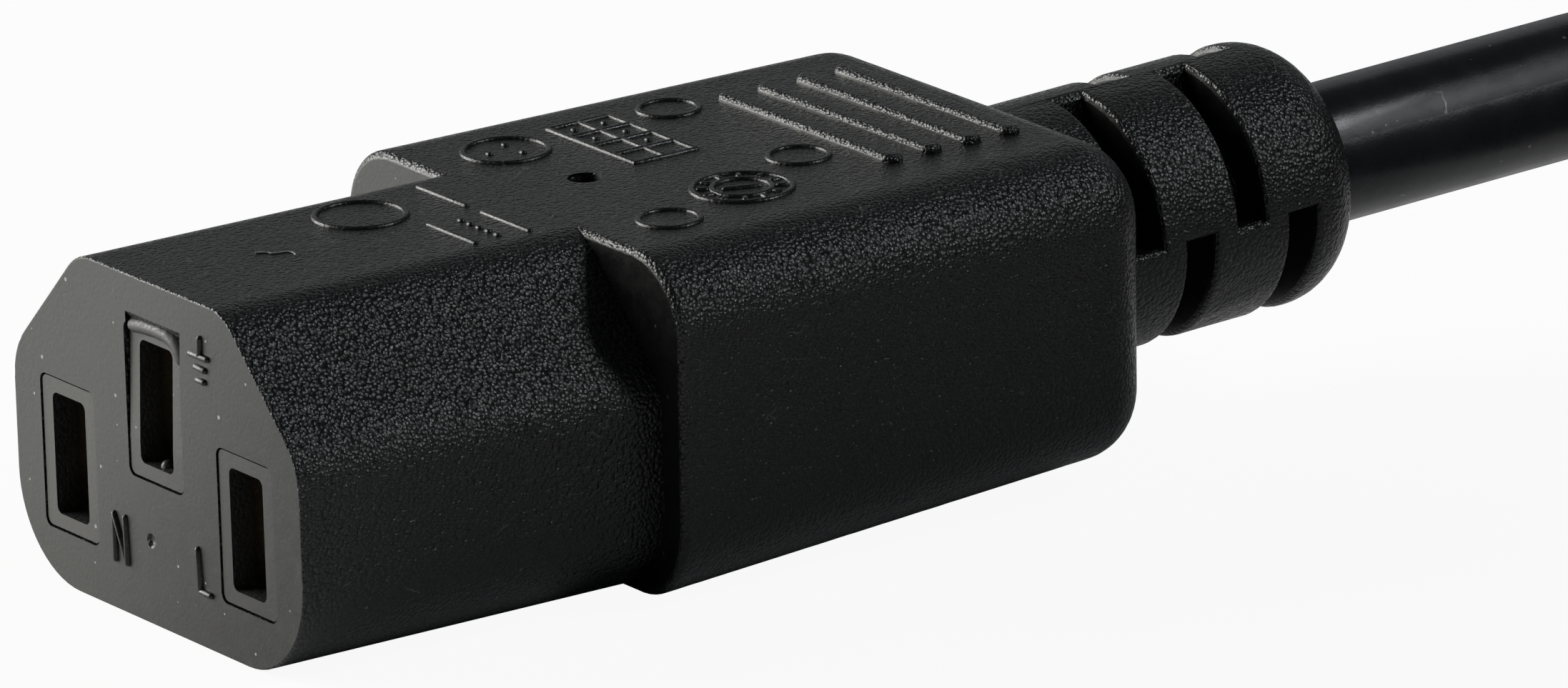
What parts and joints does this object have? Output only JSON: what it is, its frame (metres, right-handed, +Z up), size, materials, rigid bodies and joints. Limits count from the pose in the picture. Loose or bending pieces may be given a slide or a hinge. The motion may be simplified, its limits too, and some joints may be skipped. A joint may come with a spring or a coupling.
{
  "type": "c13 power connector",
  "caption": "C13 power connector with a keyed nose, ribbed grip and slotted strain relief, moulded on a coiled lead with a C14 plug.",
  "frame": {"origin": "on the mating face, midway between the line and neutral slots", "axes": "+Y from the mating face towards the cord, +Z up towards the earth slot, +X across the slots"},
  "size_m": [0.09, 0.1485, 0.0471],
  "materials": {
    "soft_moulding": "spark-eroded grain, soft black PVC",
    "rigid_insert": "smooth moulded black",
    "cord_sheath": "extruded satin black PVC",
    "strap": "plain black",
    "contact_brass": "rolled sheet",
    "plated_pin": "nickel plated",
    "copper": "stranded copper",
    "line_insulation": "brown PVC",
    "neutral_insulation": "blue PVC",
    "earth_insulation": "green PVC with a yellow stripe"
  },
  "bodies": {
    "root": {"connector_housing": "soft_moulding", "plug_housing": "soft_moulding", "contact_carrier": "rigid_insert", "plug_pin_carrier": "rigid_insert", "cord_lead": "cord_sheath", "cord_coil": "cord_sheath", "cord_tail": "cord_sheath", "cord_strap": "strap", "line_contact": "contact_brass", "plug_line_pin": "plated_pin", "line_core": "line_insulation", "line_conductor": "copper", "plug_line_core": "line_insulation", "plug_line_conductor": "copper", "neutral_contact": "contact_brass", "plug_neutral_pin": "plated_pin", "neutral_core": "neutral_insulation", "neutral_conductor": "copper", "plug_neutral_core": "neutral_insulation", "plug_neutral_conductor": "copper", "earth_contact": "contact_brass", "plug_earth_pin": "plated_pin", "earth_core": "earth_insulation", "earth_conductor": "copper", "plug_earth_core": "earth_insulation", "plug_earth_conductor": "copper"}
  },
  "joints": []
}
